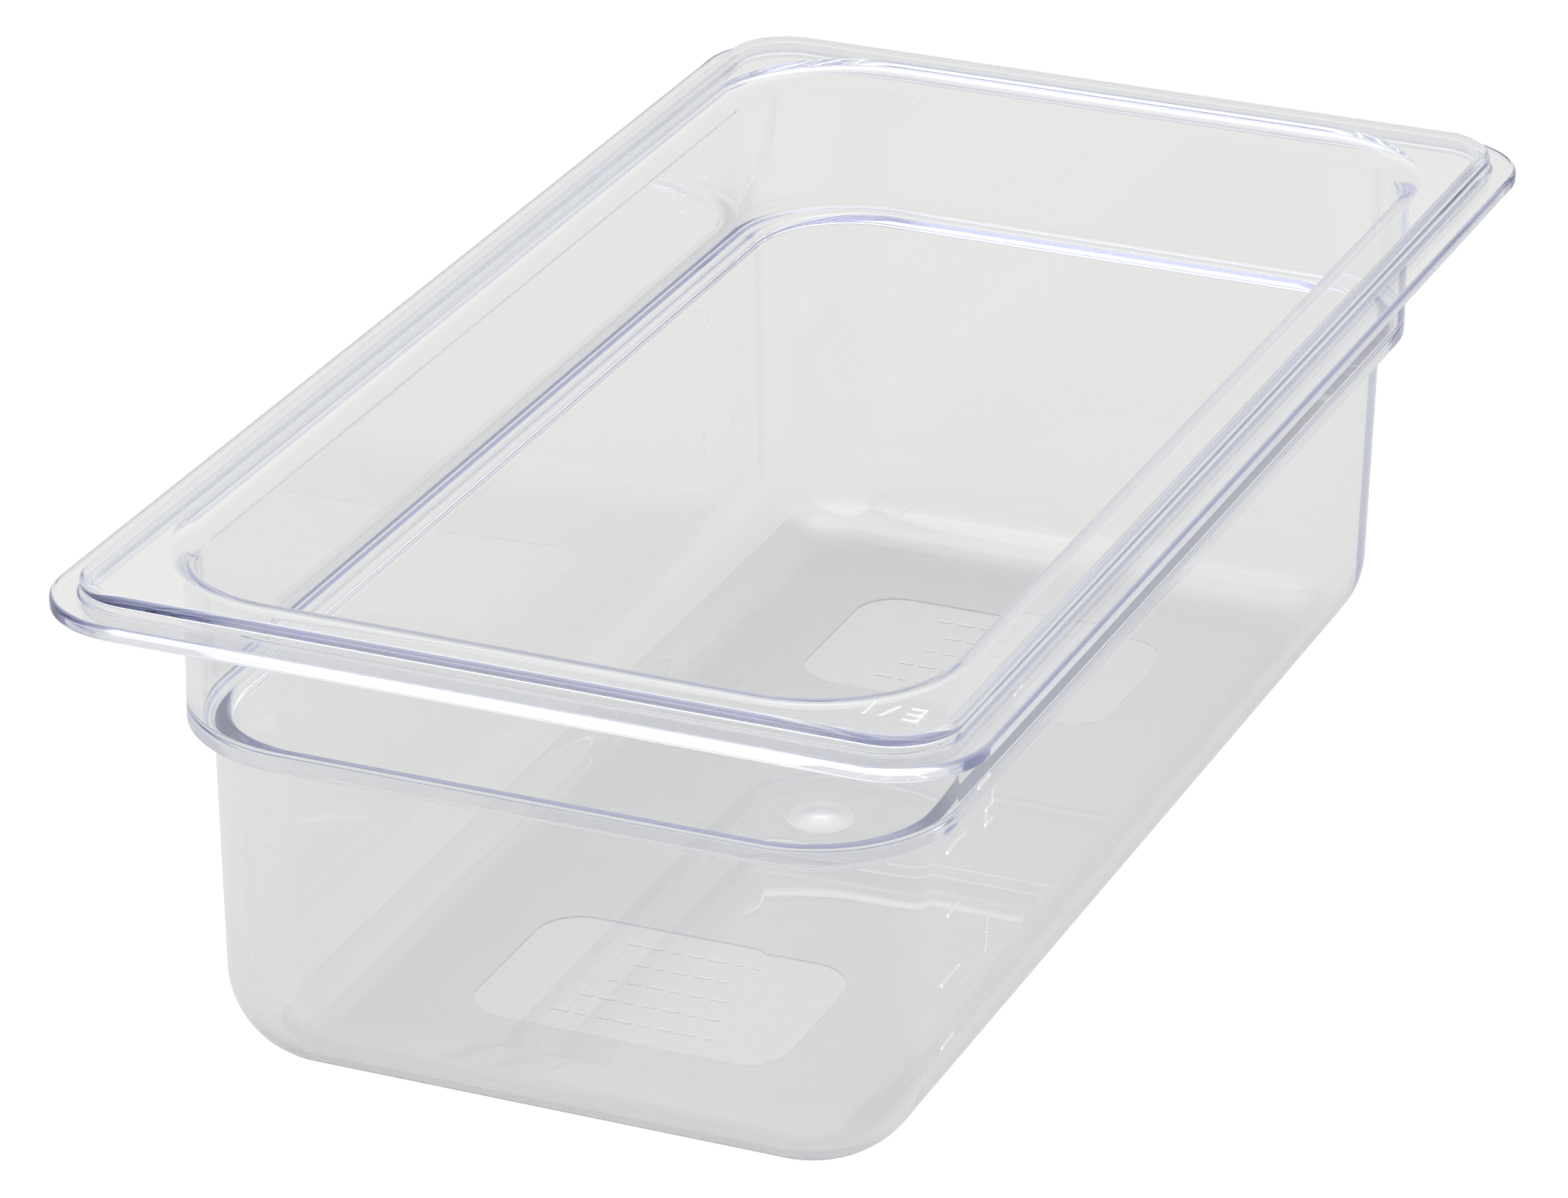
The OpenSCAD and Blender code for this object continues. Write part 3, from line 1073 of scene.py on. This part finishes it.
class PAN_OT_stage(Operator):
    """Lay the floor, light the room and set the camera"""

    bl_idname = "pan.stage"
    bl_label = "Stage"

    def execute(self, context):
        scene = context.scene
        bpy.ops.mesh.primitive_plane_add(size=TABLE_SIZE, location=(0, 0, -TABLE_DROP))
        floor = context.object
        floor.name = "studio_floor"
        material, tree, shader = new_material("studio_floor")
        path = tree.nodes.new("ShaderNodeLightPath")
        pale = add(tree, "ShaderNodeMix", data_type="RGBA")
        tree.links.new(path.outputs["Is Camera Ray"], pale.inputs["Factor"])
        pale.inputs["A"].default_value = TABLE_TO_PLASTIC
        pale.inputs["B"].default_value = TABLE_TO_EYE
        tree.links.new(pale.outputs["Result"], shader.inputs["Emission Color"])
        shader.inputs["Emission Strength"].default_value = 1.0
        shader.inputs["Base Color"].default_value = TABLE_BASE
        shader.inputs["Roughness"].default_value = TABLE_ROUGHNESS
        shader.inputs["Specular IOR Level"].default_value = 0.0
        floor.data.materials.append(material)
        self.surroundings(scene)
        self.light("overhead", LAMP_PLACE, LAMP_SIZE, LAMP_WATTS)
        self.camera(scene)
        return {"FINISHED"}

    def surroundings(self, scene):
        """A pale room all round the pan and a soft bright dome overhead."""
        world = bpy.data.worlds.new("studio")
        world.use_nodes = True
        tree = world.node_tree
        coords = tree.nodes.new("ShaderNodeTexCoord")
        toward = add(tree, "ShaderNodeVectorMath", operation="DOT_PRODUCT")
        toward.inputs[1].default_value = ROOM_WAY
        ramp = tree.nodes.new("ShaderNodeValToRGB")
        tree.links.new(coords.outputs["Generated"], toward.inputs[0])
        tree.links.new(toward.outputs["Value"], ramp.inputs["Fac"])
        above = add(tree, "ShaderNodeVectorMath", operation="DOT_PRODUCT")
        above.inputs[1].default_value = DOME_WAY
        tree.links.new(coords.outputs["Generated"], above.inputs[0])
        dome = add(tree, "ShaderNodeMapRange", interpolation_type="SMOOTHSTEP")
        dome.inputs["From Min"].default_value = DOME_FROM
        dome.inputs["From Max"].default_value = 1.0
        dome.inputs["To Max"].default_value = DOME_LIGHT
        tree.links.new(above.outputs["Value"], dome.inputs["Value"])
        total = add(tree, "ShaderNodeVectorMath", operation="ADD")
        tree.links.new(ramp.outputs["Color"], total.inputs[0])
        tree.links.new(dome.outputs["Result"], total.inputs[1])
        tree.links.new(total.outputs["Vector"], tree.nodes["Background"].inputs["Color"])
        ramp.color_ramp.elements[0].position = 0.0
        ramp.color_ramp.elements[0].color = ROOM_NEAR
        ramp.color_ramp.elements[1].position = ROOM_FAR_FROM
        ramp.color_ramp.elements[1].color = ROOM_FAR
        tree.nodes["Background"].inputs["Strength"].default_value = 1.0
        scene.world = world

    def light(self, name, place, size, power):
        lamp = bpy.data.lights.new(name, "AREA")
        lamp.shape = "SQUARE"
        lamp.size = size
        lamp.energy = power
        obj = bpy.data.objects.new(name, lamp)
        obj.location = place
        away = Vector(place) - Vector(LAMP_TARGET)
        obj.rotation_euler = away.to_track_quat("Z", "Y").to_euler()
        bpy.context.scene.collection.objects.link(obj)

    def camera(self, scene):
        data = bpy.data.cameras.new("camera")
        data.sensor_width = 36
        data.lens = CAMERA_LENS
        data.clip_end = 50
        obj = bpy.data.objects.new("camera", data)
        az = math.radians(CAMERA_AZIMUTH)
        el = math.radians(CAMERA_ELEVATION)
        back = Vector((math.sin(az) * math.cos(el), -math.cos(az) * math.cos(el), math.sin(el)))
        turn = back.to_track_quat("Z", "Y").to_matrix().to_4x4()
        roll = Matrix.Rotation(math.radians(CAMERA_ROLL), 4, "Z")
        place = Vector(CAMERA_TARGET) + back * CAMERA_DISTANCE
        obj.matrix_world = Matrix.Translation(place) @ turn @ roll
        scene.collection.objects.link(obj)
        scene.camera = obj


class PAN_PT_sidebar(Panel):
    """Lists the sizes, the finish and the steps of the build"""

    bl_idname = "PAN_PT_sidebar"
    bl_label = "Food Pan"
    bl_space_type = "VIEW_3D"
    bl_region_type = "UI"
    bl_category = "Food Pan"

    def draw(self, context):
        layout = self.layout
        for group in (context.scene.pan_sizes, context.scene.pan_finish):
            column = layout.column()
            for name in group.__annotations__:
                column.prop(group, name)
        for step in STEPS:
            layout.operator(step.bl_idname)


STEPS = (PAN_OT_rim, PAN_OT_walls, PAN_OT_base, PAN_OT_windows, PAN_OT_gate, PAN_OT_marks, PAN_OT_stage)
CLASSES = (PanSizes, PanFinish, *STEPS, PAN_PT_sidebar)


def register():
    for cls in CLASSES:
        bpy.utils.register_class(cls)
    bpy.types.Scene.pan_sizes = PointerProperty(type=PanSizes)
    bpy.types.Scene.pan_finish = PointerProperty(type=PanFinish)


def unregister():
    del bpy.types.Scene.pan_finish
    del bpy.types.Scene.pan_sizes
    for cls in reversed(CLASSES):
        bpy.utils.unregister_class(cls)


def main():
    register()
    bpy.ops.pan.rim()
    bpy.ops.pan.walls()
    bpy.ops.pan.base()
    bpy.ops.pan.windows()
    bpy.ops.pan.gate()
    bpy.ops.pan.marks()
    bpy.ops.pan.stage()
    scene = bpy.context.scene
    scene.view_settings.view_transform = "Standard"
    scene.cycles.max_bounces = LIGHT_BOUNCES
    scene.cycles.transmission_bounces = LIGHT_BOUNCES
    scene.cycles.glossy_bounces = LIGHT_BOUNCES
    scene.cycles.transparent_max_bounces = SEE_THROUGH_FACES


if __name__ == "__main__":
    main()
